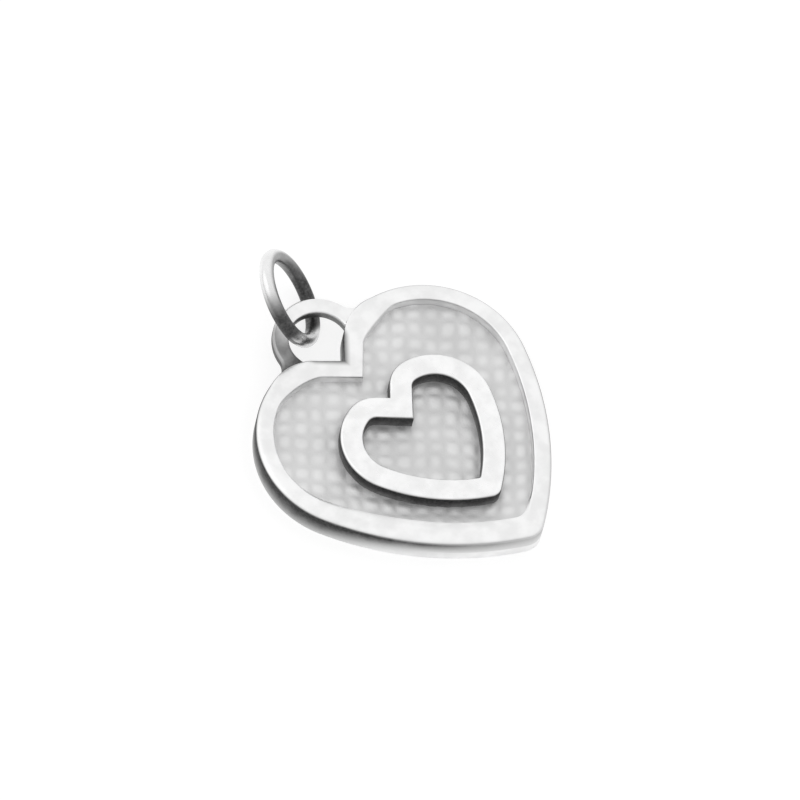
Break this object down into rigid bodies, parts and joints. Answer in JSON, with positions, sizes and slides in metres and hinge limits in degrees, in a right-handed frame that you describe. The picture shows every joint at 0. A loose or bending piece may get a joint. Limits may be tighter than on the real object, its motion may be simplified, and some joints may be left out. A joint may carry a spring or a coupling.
{
  "type": "heart charm",
  "caption": "Heart-shaped metal charm with a raised rim, a linen-textured field, a raised open-heart motif, an arched eyelet and a swinging jump ring.",
  "frame": {"origin": "middle of the heart on its flat back", "axes": "+X across the two lobes, +Y from the tip to the eyelet, +Z out of the decorated face"},
  "size_m": [0.0126, 0.0161, 0.0036],
  "materials": {
    "back_silver": "satin silver, darkened on the side wall",
    "rim_silver": "polished silver",
    "field_silver": "linen-textured silver",
    "motif_silver": "polished silver with darkened side walls",
    "loop_silver": "polished silver",
    "ring_silver": "polished silver wire"
  },
  "bodies": {
    "heart": {"back_plate": "back_silver", "rim_frame": "rim_silver", "textured_field": "field_silver", "raised_motif": "motif_silver", "eyelet": "loop_silver"},
    "ring": {"jump_ring": "ring_silver"}
  },
  "joints": [
    {"name": "ring_swing", "type": "hinge", "parent": "heart", "child": "ring", "pos_m": [0.00102, 0.00736, 0.00103], "axis": [-0.766, 0.6428, 0], "range_deg": [-10, 180]}
  ]
}
